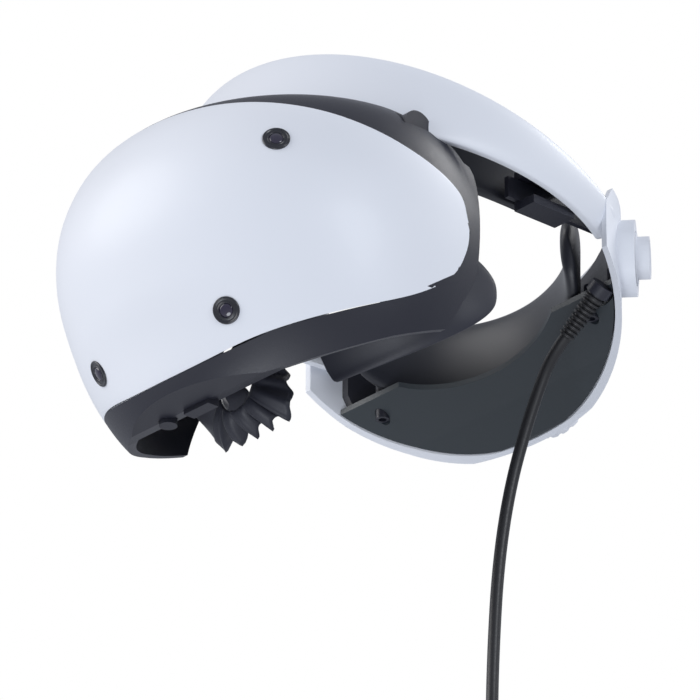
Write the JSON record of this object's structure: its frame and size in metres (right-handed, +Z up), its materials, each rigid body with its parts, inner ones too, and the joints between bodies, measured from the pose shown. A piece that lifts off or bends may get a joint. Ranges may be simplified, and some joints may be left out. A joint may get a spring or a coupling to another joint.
{
  "type": "vr headset",
  "caption": "Console virtual reality headset: a sliding visor on a rigid halo band with a sliding rear unit, fit dial, soft light shield and one cable.",
  "frame": {"origin": "middle of the wearer's head, level with the rear fit dial", "axes": "+X is the wearer's left, -Y is forward, +Z is up"},
  "size_m": [0.1992, 0.268, 0.4078],
  "materials": {
    "white_shell": "satin",
    "white_trim": "satin",
    "dark_shell": "fine matte",
    "panel": "satin",
    "camera_ring": "satin",
    "optical_glass": "polished",
    "display": "polished",
    "board": "solder mask",
    "soft_rubber": "matte",
    "soft_pad": "matte",
    "steel": "ground",
    "cable_rubber": "matte"
  },
  "bodies": {
    "halo": {"halo_band": "white_shell", "halo_liner": "dark_shell", "front_pad": "soft_pad", "side_guides": "dark_shell", "slide_rods": "steel", "halo_bracket": "steel"},
    "scope": {"front_cover": "white_shell", "visor_housing": "dark_shell", "tracking_cameras": "camera_ring", "camera_glasses": "optical_glass", "inner_frame": "dark_shell", "main_board": "board", "display_left": "display", "display_right": "display", "fan_housing": "dark_shell", "light_shield": "soft_rubber", "nose_flap": "soft_rubber", "slide_bushings": "steel"},
    "lens_carriage_left": {"lens_barrel_left": "dark_shell", "lens_left": "optical_glass", "eye_light_ring_left": "dark_shell"},
    "lens_carriage_right": {"lens_barrel_right": "dark_shell", "lens_right": "optical_glass", "eye_light_ring_right": "dark_shell"},
    "spacing_dial": {"lens_spacing_dial": "dark_shell"},
    "function_key": {"function_button": "dark_shell"},
    "power_key": {"power_button": "dark_shell"},
    "scope_key": {"scope_release_button": "dark_shell"},
    "fan": {"fan_wheel": "dark_shell"},
    "rear": {"rear_shell": "white_shell", "rear_frame": "dark_shell", "rear_pad": "soft_pad", "bottom_panel": "panel", "earbud_sockets": "dark_shell", "side_rails": "dark_shell", "button_seat": "dark_shell", "cable_gland": "dark_shell", "strain_relief": "cable_rubber", "cable": "cable_rubber", "cable_coil": "cable_rubber", "cable_plug": "dark_shell"},
    "knob_left": {"side_knob_left": "white_trim"},
    "knob_right": {"side_knob_right": "white_trim"},
    "dial": {"fit_dial": "white_trim", "dial_pinion": "dark_shell"},
    "release_key": {"release_button": "white_trim"}
  },
  "joints": [
    {"name": "scope_slide", "type": "slide", "parent": "halo", "child": "scope", "axis": [0, -1, 0], "range_m": [0, 0.025]},
    {"name": "spacing_turn", "type": "hinge", "parent": "scope", "child": "spacing_dial", "pos_m": [0.084, -0.05, 0.044], "axis": [1, 0, 0], "range_deg": [-60, 60]},
    {"name": "lens_slide_left", "type": "slide", "parent": "scope", "child": "lens_carriage_left", "axis": [1, 0, 0], "range_m": [-0.0035, 0.0035]},
    {"name": "lens_slide_right", "type": "slide", "parent": "scope", "child": "lens_carriage_right", "axis": [1, 0, 0], "range_m": [-0.0035, 0.0035]},
    {"name": "function_press", "type": "slide", "parent": "scope", "child": "function_key", "axis": [0, 0, 1], "range_m": [0, 0.001], "stiffness_N_per_m": 1500},
    {"name": "power_press", "type": "slide", "parent": "scope", "child": "power_key", "axis": [0, 0, 1], "range_m": [0, 0.001], "stiffness_N_per_m": 1500},
    {"name": "scope_release_press", "type": "slide", "parent": "scope", "child": "scope_key", "axis": [0, 0, -1], "range_m": [0, 0.0015], "stiffness_N_per_m": 1200},
    {"name": "fan_spin", "type": "hinge", "parent": "scope", "child": "fan", "pos_m": [0, -0.101, 0.045], "axis": [0, 0, 1], "continuous": true},
    {"name": "rear_slide", "type": "slide", "parent": "halo", "child": "rear", "axis": [0, 1, 0], "range_m": [0, 0.025]},
    {"name": "fit_dial_turn", "type": "hinge", "parent": "rear", "child": "dial", "pos_m": [0, 0.103, 0.0049], "axis": [0, 1, 0], "range_deg": [0, 150]},
    {"name": "release_press", "type": "slide", "parent": "rear", "child": "release_key", "axis": [0, -1, 0], "range_m": [0, 0.0015], "stiffness_N_per_m": 1200},
    {"name": "knob_turn_left", "type": "hinge", "parent": "rear", "child": "knob_left", "pos_m": [0.088, 0.078, 0.023], "axis": [0.7314, 0.682, 0], "range_deg": [-30, 30]},
    {"name": "knob_turn_right", "type": "hinge", "parent": "rear", "child": "knob_right", "pos_m": [-0.088, 0.078, 0.023], "axis": [-0.7314, 0.682, 0], "range_deg": [-30, 30]}
  ],
  "couplings": [
    {"joint": "fit_dial_turn", "follows": "rear_slide", "rad_per_m": 104.17},
    {"joint": "lens_slide_right", "follows": "lens_slide_left", "ratio": -1},
    {"joint": "spacing_turn", "follows": "lens_slide_left", "rad_per_m": 299}
  ]
}
